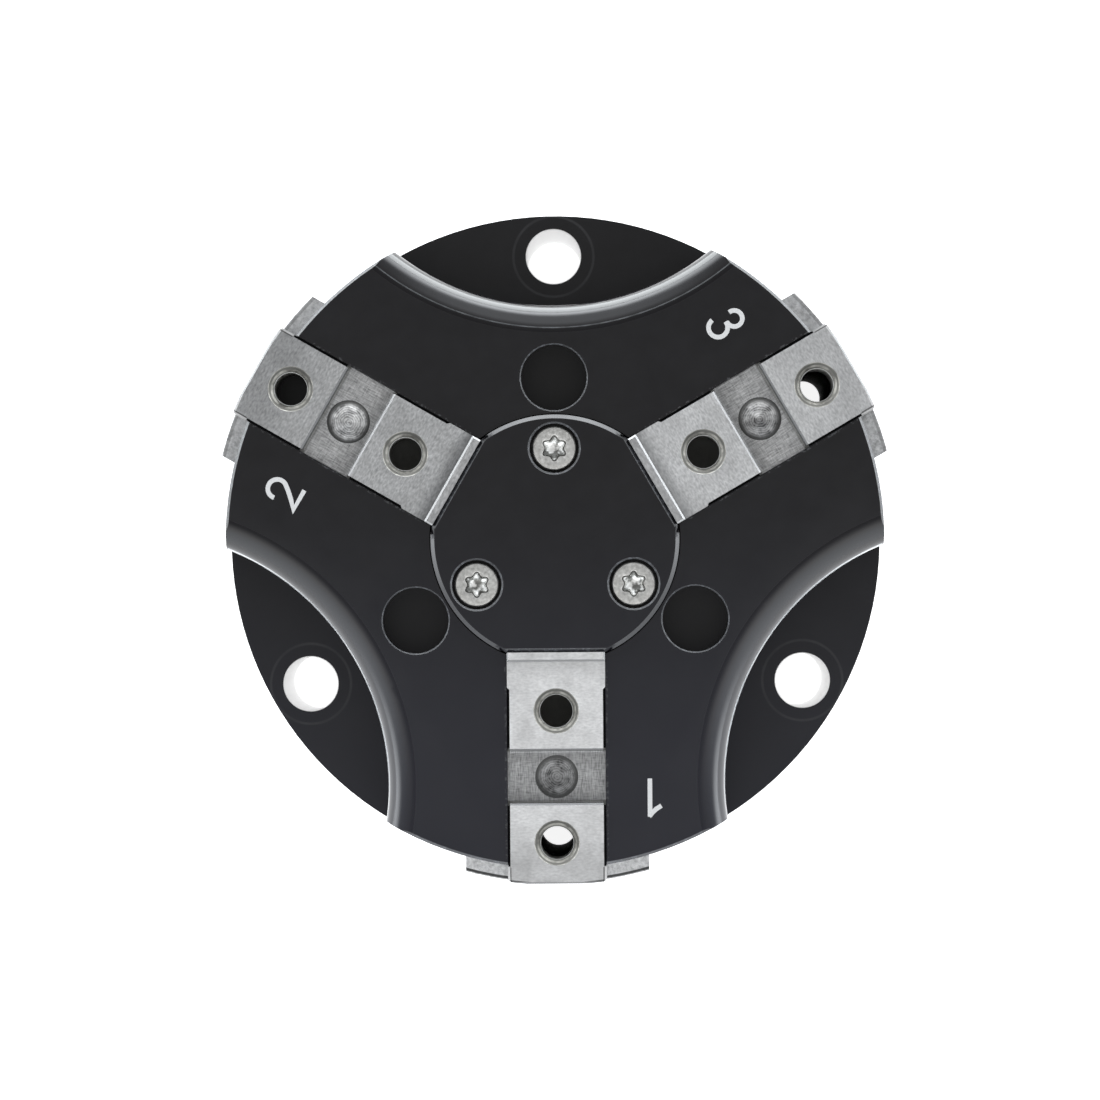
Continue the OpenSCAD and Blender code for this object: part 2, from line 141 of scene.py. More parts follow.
def make_floor_panel(name, x, y, size, power):
    """A soft panel lying on the floor out of sight, which lights the gripper's sides from below."""
    data = bpy.data.lights.new(name, "AREA")
    data.shape = "RECTANGLE"
    data.size, data.size_y = size
    data.energy = power
    data.color = (0.93, 0.98, 1.0)
    lamp = bpy.data.objects.new(name, data)
    bpy.context.scene.collection.objects.link(lamp)
    lamp.visible_camera = False
    lamp.location = (x, y, base_z + 0.002)
    lamp.rotation_euler = Vector((0.0, 0.0, 1.0)).to_track_quat("-Z", "Y").to_euler()


brightest_sky = 10.0


def sky_ramp(tree, height, steps):
    """Brightness of the sky by the height of a direction, as (height, level) pairs; the first
    two pairs are the horizon and straight up."""
    ramp = tree.nodes.new("ShaderNodeValToRGB")
    tree.links.new(height, ramp.inputs["Fac"])
    stops = ramp.color_ramp.elements
    for k, (position, level) in enumerate(steps):
        stop = stops[k] if k < 2 else stops.new(position)
        stop.position = position
        cool = 1.0 if position > 0.8 else 0.93
        level = level / brightest_sky
        stop.color = (cool * level, (cool + 1.0) / 2 * level, level, 1.0)
    return ramp.outputs["Color"]


def make_world():
    """A studio seen from the turntable: dim overhead, a bright low band behind and at the
    sides, and an even grey-blue front."""
    world = bpy.data.worlds.new("studio")
    bpy.context.scene.world = world
    world.use_nodes = True
    tree = world.node_tree
    tree.nodes.clear()
    output = tree.nodes.new("ShaderNodeOutputWorld")
    shell = tree.nodes.new("ShaderNodeBackground")
    where = tree.nodes.new("ShaderNodeTexCoord")
    direction = where.outputs["Generated"]
    y, height = axes_of(tree, direction)[1:]
    towards_back = math_node(tree, "DIVIDE", y, largest(tree, plan_length(tree, direction), 0.001))
    back = sky_ramp(tree, height, [(0.0, 10.0), (1.0, 0.28), (0.12, 9.4), (0.22, 5.4), (0.34, 1.7),
                                   (0.74, 1.9), (0.92, 0.6)])
    side = sky_ramp(tree, height, [(0.0, 6.8), (1.0, 0.28), (0.16, 6.2), (0.30, 4.5), (0.46, 0.8),
                                   (0.92, 0.5)])
    front = sky_ramp(tree, height, [(0.0, 2.6), (1.0, 0.30), (0.34, 2.6), (0.64, 2.25), (0.85, 1.7),
                                    (0.92, 1.1)])
    behind = smooth_step(tree, towards_back, 0.82, 0.98)
    ahead = smooth_step(tree, towards_back, 0.1, -0.55)
    colour = mix_colours(tree, behind, side, back)
    colour = mix_colours(tree, ahead, colour, front)
    tree.links.new(colour, shell.inputs["Color"])
    shell.inputs["Strength"].default_value = brightest_sky
    tree.links.new(shell.outputs[0], output.inputs[0])


def make_floor():
    """A plain pale floor just under the gripper, glowing enough to stay white."""
    bm = bmesh.new()
    bmesh.ops.create_grid(bm, x_segments=1, y_segments=1, size=3.0)
    floor = finish_mesh("studio_floor", bm)
    floor.data.transform(Matrix.Translation((0.0, 0.0, base_z - 0.00005)))
    material, tree, shader = new_material("pale_floor")
    shader.inputs["Base Color"].default_value = (0.86, 0.86, 0.86, 1.0)
    shader.inputs["Roughness"].default_value = 0.7
    shader.inputs["Emission Color"].default_value = (1.0, 1.0, 1.0, 1.0)
    shader.inputs["Emission Strength"].default_value = 0.9
    bump(tree, shader, noise(tree, 60.0), 0.02, 0.0005)
    floor.data.materials.append(material)


# ---------- mesh helpers ----------

def finish_mesh(name, bm, smooth_angle=None):
    """Turns a bmesh into an object at the origin; edges sharper than the angle stay sharp."""
    if smooth_angle is not None:
        for face in bm.faces:
            face.smooth = True
        for edge in bm.edges:
            if len(edge.link_faces) == 2:
                edge.smooth = edge.calc_face_angle(0.0) < smooth_angle
    mesh = bpy.data.meshes.new(name)
    bm.to_mesh(mesh)
    bm.free()
    piece = bpy.data.objects.new(name, mesh)
    bpy.context.scene.collection.objects.link(piece)
    return piece


def place_piece(piece, body, material, replaced=None):
    """Gives a new piece its material and body, and hides the CAD part it replaces."""
    piece.data.materials.clear()
    piece.data.materials.append(material)
    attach(piece, body)
    if replaced:
        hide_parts(replaced)


def broken_edges(node_name, name, width):
    """A copy of a machined part with its sharp outer edges broken, as deburring leaves them."""
    bm = bmesh.new()
    bm.from_mesh(nodes[node_name].data)
    bmesh.ops.remove_doubles(bm, verts=bm.verts, dist=1e-6)
    bmesh.ops.dissolve_limit(bm, angle_limit=math.radians(0.05), use_dissolve_boundaries=False,
                             verts=bm.verts, edges=bm.edges, delimit=set())
    edges = [e for e in bm.edges if len(e.link_faces) == 2 and e.is_convex
             and math.radians(50) < e.calc_face_angle(0.0) < math.radians(130)]
    bmesh.ops.bevel(bm, geom=edges, offset=width, offset_type="OFFSET", segments=2,
                    profile=0.5, affect="EDGES", clamp_overlap=True, material=-1)
    return finish_mesh(name, bm, math.radians(13))


def lathe(bm, profile, centre, steps):
    """Spins a profile of (radius, height) points about a vertical axis through centre."""
    verts = [bm.verts.new(centre + Vector((r, 0.0, z))) for r, z in profile]
    edges = [bm.edges.new(pair) for pair in zip(verts, verts[1:])]
    bmesh.ops.spin(bm, geom=verts + edges, cent=centre, axis=(0.0, 0.0, 1.0), dvec=(0.0, 0.0, 0.0),
                   angle=2 * math.pi, steps=steps, use_merge=True, use_duplicate=False)
    bmesh.ops.remove_doubles(bm, verts=bm.verts, dist=1e-7)


def arc(centre, radius, start, end, steps=28):
    """Points along an arc; angles in degrees, from start to end."""
    angles = [math.radians(start + (end - start) * k / steps) for k in range(steps + 1)]
    return [(centre[0] + radius * math.cos(a), centre[1] + radius * math.sin(a)) for a in angles]


def stroke(bm, line, half, height):
    """A flat ribbon of even width along a line of points, raised by height."""
    points = [Vector(p) for p in line]
    left, right = [], []
    for k, point in enumerate(points):
        before = points[max(k - 1, 0)]
        after = points[min(k + 1, len(points) - 1)]
        ahead = (after - point).normalized() if k < len(points) - 1 else (point - before).normalized()
        behind = (point - before).normalized() if k else ahead
        mean = (ahead + behind).normalized()
        side = Vector((-mean.y, mean.x)) * half / max(mean.dot(ahead), 0.5)
        left.append(point + side)
        right.append(point - side)
    face = bm.faces.new([bm.verts.new((p.x, p.y, 0.0)) for p in left + right[::-1]])
    grown = bmesh.ops.extrude_face_region(bm, geom=[face])["geom"]
    bmesh.ops.translate(bm, vec=(0.0, 0.0, height),
                        verts=[part for part in grown if isinstance(part, bmesh.types.BMVert)])


digit_lines = {
    1: [[(0.48, -2.75), (0.48, 3.05)], [(0.62, 3.0), (0.12, 2.4), (-0.45, 1.88), (-1.25, 1.36)]],
    2: [arc((0.42, 1.2), 1.43, 190, -30) + [(1.1, -0.25), (0.0, -1.45), (-1.12, -2.5), (2.25, -2.5)]],
    3: [arc((-0.45, 1.2), 1.22, 190, -98), arc((-0.5, -1.62), 1.45, 98, -172)],
}


def add_digit(number, material):
    """A jaw's number, marked white on the top face beside the jaw and read from outside."""
    angle = jaw_angle[number]
    bm = bmesh.new()
    for k, line in enumerate(digit_lines[number]):
        stroke(bm, line, 0.35, 0.03 + 0.005 * k)
    bmesh.ops.recalc_face_normals(bm, faces=bm.faces)
    middle = around(digit_out, angle) + around(digit_side, angle + math.pi / 2)
    bmesh.ops.transform(bm, verts=bm.verts, matrix=Matrix.Translation(middle + Vector((0.0, 0.0, top_z)))
                        @ Matrix.Rotation(angle - math.pi / 2, 4, "Z") @ Matrix.Scale(MM, 4))
    place_piece(finish_mesh(f"jaw_number_{number}", bm), "body", material)


def star(angle):
    """Radius of the six-lobed socket at an angle, as a share of its largest radius."""
    least, rise, power = socket_star
    return least + rise * (0.5 + 0.5 * math.cos(6 * angle)) ** power


def add_screws(material):
    """The cover screws: turned heads with a six-lobed socket, on plain shanks."""
    tip, top = screw_box[0].z, screw_box[1].z
    seat = top - 2.6 * MM
    outer = [(0.0, tip), (1.2, tip), (1.6, tip + 0.4 * MM), (1.6, seat - 3.0 * MM),
             (2.0, seat - 3.0 * MM), (2.0, seat), (3.25, seat), (3.4, seat + 0.15 * MM),
             (3.4, top - 0.32 * MM), (3.34, top - 0.15 * MM), (3.2, top - 0.03 * MM), (3.05, top),
             (2.2, top)]
    socket = [(1.04, 0.0), (1.0, -0.03), (0.90, -0.16), (0.87, -0.9), (0.80, -1.02), (0.45, -1.28),
              (0.36, -1.34), (0.0, -1.40)]
    profile = [(r * MM, z) for r, z in outer] + [(r * socket_r, top + z * MM) for r, z in socket]
    bm = bmesh.new()
    for angle in lobe_angle:
        centre = around(screw_at, angle)
        lathe(bm, profile, centre, steps=96)
        for vert in bm.verts:
            local = vert.co - centre
            away = math.hypot(local.x, local.y)
            if 0.9 * MM < away < socket_r + 1e-6 and local.z > seat:
                vert.co.xy = centre.xy + local.xy * star(math.atan2(local.y, local.x) - angle)
    bmesh.ops.recalc_face_normals(bm, faces=bm.faces)
    place_piece(finish_mesh("cover_screws_turned", bm, math.radians(35)), "body",
                material, "cover_screws")


def raise_cover(cover):
    """Stands the cover proud of the top face, narrows its chamfer, and moves its flats out
    towards the jaws, keeping their corners on the rim."""
    for vert in cover.data.vertices:
        depth = top_z - vert.co.z
        reach = math.hypot(vert.co.x, vert.co.y)
        if depth < cover_chamfer:
            vert.co.z += cover_proud + (rim_lift if depth > 0.7 * MM else 0.0)
            if reach > cover_r - 0.3 * MM:
                vert.co.xy *= 1.0 - rim_ease / cover_r
            elif reach > cover_r - 0.98 * MM:
                vert.co.xy *= 1.0 + 1.2 * rim_ease / cover_r
        reach = math.hypot(vert.co.x, vert.co.y)
        for angle in jaw_angle.values():
            out, along = around(1.0, angle), around(1.0, angle + math.pi / 2)
            forward, sideways = vert.co.dot(out), vert.co.dot(along)
            if forward > flat_at:
                vert.co += out * flat_shift
                if reach > cover_r - 1.1 * MM:
                    kept = math.sqrt(reach ** 2 - (forward + flat_shift) ** 2)
                    vert.co += along * (math.copysign(kept, sideways) - sideways)


# ---------- material helpers ----------

def new_material(name):
    material = bpy.data.materials.new(name)
    material.use_nodes = True
    tree = material.node_tree
    return material, tree, tree.nodes["Principled BSDF"]


def object_coordinates(tree, angle=0.0, centre=(0.0, 0.0, 0.0), stretch=(1.0, 1.0, 1.0)):
    """Object coordinates, moved to a centre, turned back by an angle and stretched."""
    where = tree.nodes.new("ShaderNodeTexCoord")
    shift = tree.nodes.new("ShaderNodeMapping")
    shift.inputs["Location"].default_value = [-c for c in centre]
    tree.links.new(where.outputs["Object"], shift.inputs["Vector"])
    turn = tree.nodes.new("ShaderNodeMapping")
    turn.inputs["Rotation"].default_value = (0.0, 0.0, -angle)
    tree.links.new(shift.outputs[0], turn.inputs["Vector"])
    grow = tree.nodes.new("ShaderNodeMapping")
    grow.inputs["Scale"].default_value = stretch
    tree.links.new(turn.outputs[0], grow.inputs["Vector"])
    return grow.outputs[0]


def noise(tree, scale, detail=3.0, vector=None, roughness=0.5):
    texture = tree.nodes.new("ShaderNodeTexNoise")
    texture.inputs["Scale"].default_value = scale
    texture.inputs["Detail"].default_value = detail
    texture.inputs["Roughness"].default_value = roughness
    tree.links.new(vector or object_coordinates(tree), texture.inputs["Vector"])
    return texture.outputs["Fac"]


def math_node(tree, operation, a, b=None, c=None):
    made = tree.nodes.new("ShaderNodeMath")
    made.operation = operation
    for socket, value in zip(made.inputs, (a, b, c)):
        if isinstance(value, (int, float)):
            socket.default_value = value
        elif value is not None:
            tree.links.new(value, socket)
    return made.outputs[0]


def times(tree, *values):
    product = values[0]
    for value in values[1:]:
        product = math_node(tree, "MULTIPLY", product, value)
    return product


def largest(tree, *values):
    most = values[0]
    for value in values[1:]:
        most = math_node(tree, "MAXIMUM", most, value)
    return most


def over(tree, value, limit):
    """1 where a value is larger than the limit."""
    return math_node(tree, "GREATER_THAN", value, limit)


def under(tree, value, limit):
    """1 where a value is smaller than the limit."""
    return math_node(tree, "LESS_THAN", value, limit)


def inverse(tree, mask):
    return math_node(tree, "SUBTRACT", 1.0, mask)


def lifted(tree, base, mask, amount):
    """A base value, with an amount added where the mask is 1."""
    return math_node(tree, "MULTIPLY_ADD", mask, amount, base)


def waves(tree, value, pitch):
    """A sine wave along a length."""
    return math_node(tree, "SINE", times(tree, value, 2 * math.pi / pitch))


def axes_of(tree, vector):
    """The X, Y and Z of a vector."""
    split = tree.nodes.new("ShaderNodeSeparateXYZ")
    tree.links.new(vector, split.inputs[0])
    return split.outputs["X"], split.outputs["Y"], split.outputs["Z"]


def plan_length(tree, vector):
    """Length of a vector in plan."""
    flat = tree.nodes.new("ShaderNodeVectorMath")
    flat.operation = "MULTIPLY"
    flat.inputs[1].default_value = (1.0, 1.0, 0.0)
    tree.links.new(vector, flat.inputs[0])
    length = tree.nodes.new("ShaderNodeVectorMath")
    length.operation = "LENGTH"
    tree.links.new(flat.outputs[0], length.inputs[0])
    return length.outputs["Value"]


def map_range(tree, value, start, end, low=0.0, high=1.0, interpolation="LINEAR"):
    """Maps start to end of a value to low to high, and holds it beyond them."""
    mapped = tree.nodes.new("ShaderNodeMapRange")
    mapped.interpolation_type = interpolation
    for socket, setting in (("From Min", start), ("From Max", end), ("To Min", low), ("To Max", high)):
        mapped.inputs[socket].default_value = setting
    tree.links.new(value, mapped.inputs["Value"])
    return mapped.outputs[0]


def spread(tree, factor, low, high):
    """Maps a 0 to 1 value to low to high."""
    return map_range(tree, factor, 0.0, 1.0, low, high)


def contrast(tree, value, low, high):
    """Stretches the range low to high of a value to 0 to 1."""
    return map_range(tree, value, low, high)


def smooth_step(tree, value, start, end):
    """0 before start, 1 past end, and a smooth change between; start may be the larger."""
    if start < end:
        return map_range(tree, value, start, end, interpolation="SMOOTHSTEP")
    return map_range(tree, value, end, start, 1.0, 0.0, interpolation="SMOOTHSTEP")


def band(tree, value, low, high, soft):
    """1 where value lies between low and high, with soft edges."""
    return times(tree, map_range(tree, value, low - soft, low),
                 map_range(tree, value, high, high + soft, 1.0, 0.0))


def mix_colours(tree, factor, first, second):
    """Mixes two colours; a colour is a socket, a red, green and blue, or one number for grey."""
    mix = tree.nodes.new("ShaderNodeMix")
    mix.data_type = "RGBA"
    if isinstance(factor, float):
        mix.inputs["Factor"].default_value = factor
    else:
        tree.links.new(factor, mix.inputs["Factor"])
    for socket, value in ((mix.inputs["A"], first), (mix.inputs["B"], second)):
        if isinstance(value, float):
            value = (value,) * 3
        if isinstance(value, tuple):
            socket.default_value = (*value, 1.0)
        else:
            tree.links.new(value, socket)
    return mix.outputs["Result"]


def bump(tree, shader, height, strength, distance, after=None):
    """Gives a shader a bump, on top of an earlier one if given."""
    made = tree.nodes.new("ShaderNodeBump")
    made.inputs["Strength"].default_value = strength
    made.inputs["Distance"].default_value = distance
    tree.links.new(height, made.inputs["Height"])
    if after is not None:
        tree.links.new(after, made.inputs["Normal"])
    tree.links.new(made.outputs[0], shader.inputs["Normal"])
    return made.outputs[0]


def nearest_of(tree, places):
    """Plan distance to the nearest of several points."""
    nearest = None
    for place in places:
        away = plan_length(tree, object_coordinates(tree, centre=place))
        nearest = away if nearest is None else math_node(tree, "MINIMUM", nearest, away)
    return nearest


def height_of_normal(tree):
    """How far a face is turned up or down: 1 on level faces, 0 on upright ones."""
    where = tree.nodes.new("ShaderNodeTexCoord")
    return math_node(tree, "ABSOLUTE", axes_of(tree, where.outputs["Normal"])[2])


def slanted_faces(tree):
    """1 on chamfers and rounded edges, 0 on level and upright faces."""
    return band(tree, height_of_normal(tree), 0.25, 0.92, 0.05)


def slot_edges(tree):
    """A mask that is 1 along the top edges of the three jaw slots."""
    masks = []
    for angle in jaw_angle.values():
        along, across = axes_of(tree, object_coordinates(tree, angle=angle))[:2]
        line = band(tree, math_node(tree, "ABSOLUTE", across), slot_half, slot_half + 0.32 * MM, 0.05 * MM)
        masks.append(times(tree, line, over(tree, along, cover_r)))
    return largest(tree, *masks)


# ---------- materials ----------

def housing_marks_and_painted_light(tree, colour, away):
    """The housing's own marks and its painted light. Returns its colour, a mask of the mounting
    holes' walls, made near-white metal as a painted reflection, and a mask of the rounded edges
    along the lobe walls."""
    y, z = axes_of(tree, object_coordinates(tree))[1:]
    turned_up = over(tree, height_of_normal(tree), 0.03)
    to_hole = nearest_of(tree, [around(mount_at, angle) for angle in lobe_angle])
    arcs = nearest_of(tree, [around(lobe_centre, angle) for angle in lobe_angle])

    # faint worn rings round the mounting holes
    rings = band(tree, to_hole, 6.05 * MM, 6.30 * MM, 0.12 * MM)
    colour = mix_colours(tree, times(tree, rings, turned_up, noise(tree, 240.0, 2.0)), colour,
                         (0.03, 0.03, 0.032))

    # painted light: a bright line at the foot of the rounded edges in front, and a broken one on
    # top behind
    foot = times(tree, band(tree, arcs, lobe_cut_r + 0.02 * MM, lobe_cut_r + 0.2 * MM, 0.06 * MM),
                 band(tree, z, top_z - 4.3 * MM, top_z - 2.2 * MM, 0.2 * MM),
                 smooth_step(tree, y, -46 * MM, -30 * MM), under(tree, y, back_part),
                 under(tree, away, body_r - 0.2 * MM))
    colour = mix_colours(tree, foot, colour, (0.33, 0.34, 0.35))
    brow = times(tree, band(tree, arcs, lobe_cut_r + 3.44 * MM, lobe_cut_r + 3.6 * MM, 0.03 * MM),
                 over(tree, y, back_part), turned_up, noise(tree, 700.0, 2.0))
    colour = mix_colours(tree, brow, colour, (0.10, 0.105, 0.11))

    # painted reflection: the mounting holes' walls are made near-white metal, standing in for the bright floor
    # they reflect
    hole_wall_reflection = under(tree, to_hole, mount_r + 0.08 * MM)
    colour = mix_colours(tree, hole_wall_reflection, colour, 0.93)
    flecks = times(tree, slot_edges(tree), over(tree, noise(tree, 2600.0, 2.0), 0.58),
                   over(tree, z, top_z - 0.5 * MM))
    colour = mix_colours(tree, flecks, colour, (0.035, 0.036, 0.038))
    rounded = times(tree, turned_up,
                    band(tree, arcs, lobe_cut_r - 0.2 * MM, lobe_cut_r + 4.2 * MM, 0.05 * MM))
    return colour, hole_wall_reflection, rounded


def sensor_bores(tree, away):
    """1 in the two sensor bores."""
    to_bore = nearest_of(tree, [around(sensor_bore, jaw_angle[number]) for number in (1, 3)])
    return times(tree, under(tree, to_bore, 4.5 * MM), under(tree, away, sensor_bore + 3.0 * MM))


def anodised(name, housing=False, turned=False):
    """Black anodised aluminium: a satin film over milled metal, thin along the edges."""
    material, tree, shader = new_material(name)
    y, z = axes_of(tree, object_coordinates(tree))[1:]
    away = plan_length(tree, object_coordinates(tree))
    # painted light: paler towards the front, where the studio lights it more
    nearer = smooth_step(tree, y, 14 * MM, -40 * MM)
    mottle = contrast(tree, noise(tree, 420.0, 5.0), 0.3, 0.7)
    colour = mix_colours(tree, nearer, (0.0007, 0.0005, 0.0012), (0.0078, 0.0080, 0.0120))
    colour = mix_colours(tree, times(tree, mottle, 0.18), colour, (0.0080, 0.0082, 0.0100))
    rim = band(tree, away, rim_inner, rim_outer, 0.03 * MM)
    shine = spread(tree, noise(tree, 160.0, 4.0), 0.26, 0.32)
    shine = lifted(tree, shine, times(tree, rim, slanted_faces(tree)), -0.12)
    edges = times(tree, slanted_faces(tree), inverse(tree, rim))
    marks = bump(tree, shader, noise(tree, 5200.0), 0.25, 0.01 * MM)
    if turned:
        rings = tree.nodes.new("ShaderNodeCombineXYZ")
        tree.links.new(times(tree, away, 5200.0), rings.inputs[0])
        bump(tree, shader, noise(tree, 1.0, 2.0, rings.outputs[0]), 0.5, 0.02 * MM, after=marks)
    if housing:
        colour, hole_wall_reflection, rounded = housing_marks_and_painted_light(tree, colour, away)
        # painted reflection: the mounting holes' walls are metal
        tree.links.new(hole_wall_reflection, shader.inputs["Metallic"])
        edges = times(tree, edges, inverse(tree, rounded))
        in_bore = sensor_bores(tree, away)
        shine = lifted(tree, lifted(tree, shine, rounded, -0.12), in_bore, 0.6)
        upright_marks = noise(tree, 1.0, 2.0, object_coordinates(tree, stretch=(45.0, 45.0, 4200.0)))
        marks = bump(tree, shader, upright_marks, 0.3, 0.01 * MM, after=marks)
        thread = times(tree, waves(tree, z, 1.0 * MM), in_bore)
        bump(tree, shader, thread, 1.0, 0.5 * MM, after=marks)
    chipped = over(tree, noise(tree, 1500.0), 0.56)
    thin = times(tree, edges, spread(tree, chipped, 0.25, 0.9))
    tree.links.new(mix_colours(tree, thin, colour, (0.05, 0.053, 0.06)), shader.inputs["Base Color"])
    tree.links.new(shine, shader.inputs["Roughness"])
    shader.inputs["IOR"].default_value = 1.52
    shader.inputs["Specular IOR Level"].default_value = 0.5
    return material


def along_jaw(tree, angle, stretch, detail=3.0):
    """Noise stretched along or across a jaw, with its contrast raised."""
    return contrast(tree, noise(tree, 1.0, detail, object_coordinates(tree, angle=angle, stretch=stretch)),
                    0.30, 0.70)


def jaw_fields(tree, angle):
    """The places and noises that the parts of a jaw's material share."""
    along, across, height = axes_of(tree, object_coordinates(tree, angle=angle))
    lengthways = along_jaw(tree, angle, (800.0, 5200.0, 900.0))
    crossways = along_jaw(tree, angle, (5200.0, 800.0, 900.0))
    from_spot = plan_length(tree, object_coordinates(tree, centre=around(groove_at, angle)))
    wander = times(tree, noise(tree, 520.0), 0.9 * MM)
    swirl = waves(tree, math_node(tree, "ADD", from_spot, wander), 0.34 * MM)
    return SimpleNamespace(
        angle=angle, along=along, sideways=math_node(tree, "ABSOLUTE", across), height=height,
        away=plan_length(tree, object_coordinates(tree)), from_spot=from_spot,
        fine=along_jaw(tree, angle, (3400.0, 1500.0, 2000.0)),
        cloud=contrast(tree, noise(tree, 380.0, 5.0, roughness=0.6), 0.3, 0.7),
        milled=math_node(tree, "MULTIPLY_ADD", lengthways, 0.6, times(tree, crossways, 0.4)),
        rings=math_node(tree, "MULTIPLY_ADD", swirl, 0.5, 0.5))


def jaw_land(tree, jaw, finish):
    """Ground lands: grinding marks across the jaw and a cloudy shine, with painted shade by the lip,
    on the lip and outwards, and a painted tone and tint set per jaw."""
    long_marks = along_jaw(tree, jaw.angle, (2600.0, 320.0, 900.0), 2.0)
    land = mix_colours(tree, jaw.cloud, 0.74, 0.90)
    land = mix_colours(tree, times(tree, jaw.fine, finish["grain"]), land, 0.36)
    land = mix_colours(tree, times(tree, long_marks, 0.16), land, 0.98)
    # painted shade: the land darkens beside the lip and towards the outer end, and the lip itself is darker, by
    # amounts set per jaw
    lip_edge = lip_end - 0.05 * MM
    by_lip = times(tree, smooth_step(tree, jaw.along, lip_end + 2.6 * MM, lip_end),
                   over(tree, jaw.along, lip_edge))
    outwards = smooth_step(tree, jaw.along, groove_at + 4.5 * MM, groove_at + 14.0 * MM)
    dim = largest(tree, times(tree, by_lip, finish["lip_shade"]),
                  times(tree, outwards, finish["end_dim"]))
    land = mix_colours(tree, dim, land, (0.05, 0.05, 0.052))
    on_lip = under(tree, jaw.along, lip_edge)
    land = mix_colours(tree, times(tree, on_lip, finish["lip_dim"]), land, 0.05)
    # painted light: each jaw's lands are darkened and tinted blue by their own amounts
    land = mix_colours(tree, 1.0 - finish["tone"], land, 0.0)
    return mix_colours(tree, finish["tint"], land, (0.28, 0.34, 0.40))


def jaw_outer_end(tree, jaw, finish, land):
    """The outer end of a land: its broken edge, with painted light set per jaw, and a pale strip
    with a dark line each side.
    """
    # painted light: the broken outer edge is dark on jaw 1 and pale on jaws 2 and 3, for the light each catches
    broken = over(tree, jaw.away, jaw_end - 0.36 * MM)
    land = mix_colours(tree, broken, land, finish["end_edge"])
    outside = over(tree, jaw.along, body_r - 0.2 * MM)
    strip = times(tree, outside, over(tree, jaw.sideways, 7.16 * MM))
    land = mix_colours(tree, strip, land, 0.95)
    line = times(tree, outside, band(tree, jaw.sideways, 6.98 * MM, 7.16 * MM, 0.02 * MM), 0.8)
    return mix_colours(tree, line, land, 0.06)


def jaw_flange(tree, jaw, finish):
    """The flange beside the neck: rough milled and pale, dark along its outer edge."""
    patches = contrast(tree, noise(tree, 1300.0, 5.0, roughness=0.75), 0.3, 0.7)
    clouds = contrast(tree, noise(tree, 260.0), 0.35, 0.65)
    flange = mix_colours(tree, patches, 0.34, 0.95)
    flange = mix_colours(tree, times(tree, clouds, 0.35), flange, 0.98)
    brink = band(tree, jaw.away, jaw_end - 0.55 * MM, jaw_end - 0.2 * MM, 0.04 * MM)
    return mix_colours(tree, times(tree, brink, finish["brink"]), flange, 0.03)


def jaw_groove(tree, jaw, finish):
    """The groove's floor: fine crossed milling marks, with painted shade towards its corners; and
    in its spot hole uneven end mill rings, mottled, with painted shade round the wall."""
    blotch = along_jaw(tree, jaw.angle, (300.0, 500.0, 300.0), 2.0)
    # painted shade: the floor darkens towards the groove's ends, by its walls
    corner = inverse(tree, band(tree, jaw.along, groove_at - 3.75 * MM, groove_at + 3.45 * MM,
                                0.25 * MM))
    groove = mix_colours(tree, jaw.milled, 0.20 * finish["groove"], 0.72 * finish["groove"])
    groove = mix_colours(tree, times(tree, blotch, 0.28), groove, 0.14)
    groove = mix_colours(tree, times(tree, corner, 0.8), groove, (0.10, 0.098, 0.09))

    mottled = contrast(tree, noise(tree, 650.0, 5.0, roughness=0.7), 0.39, 0.61)
    milled = math_node(tree, "MULTIPLY_ADD", jaw.rings, 0.32, times(tree, mottled, 0.68))
    spot = mix_colours(tree, milled, 0.11 * finish["spot"], 0.80 * finish["spot"])
    # painted shade round the spot hole's wall
    wall = smooth_step(tree, jaw.from_spot, 2.2 * MM, 3.1 * MM)
    spot = mix_colours(tree, wall, spot, (0.09, 0.09, 0.088))
    return mix_colours(tree, under(tree, jaw.from_spot, spot_r), groove, spot)


def jaw_holes(tree, jaw, colour):
    """The tapped holes: a turned mouth of light and dark rings, dark threads below. Returns the
    colour and a mask of the threads."""
    to_hole = nearest_of(tree, [around(hole_inner, jaw.angle), around(hole_outer, jaw.angle)])
    mouth = times(tree, band(tree, to_hole, tap_r, 3.46 * MM, 0.03 * MM),
                  under(tree, jaw.height, jaw_top - 0.01 * MM))
    light_rings = largest(tree, band(tree, to_hole, 2.74 * MM, 2.98 * MM, 0.1 * MM),
                          band(tree, to_hole, 3.36 * MM, 3.6 * MM, 0.05 * MM))
    scuffed = contrast(tree, noise(tree, 900.0), 0.35, 0.65)
    light = mix_colours(tree, scuffed, (0.13, 0.125, 0.115), (0.34, 0.33, 0.30))
    colour = mix_colours(tree, mouth, colour,
                         mix_colours(tree, light_rings, (0.10, 0.098, 0.09), light))
    threads = times(tree, under(tree, to_hole, tap_r + 0.08 * MM),
                    under(tree, jaw.height, jaw_top - 0.80 * MM))
    return mix_colours(tree, threads, colour, (0.30, 0.30, 0.285)), threads


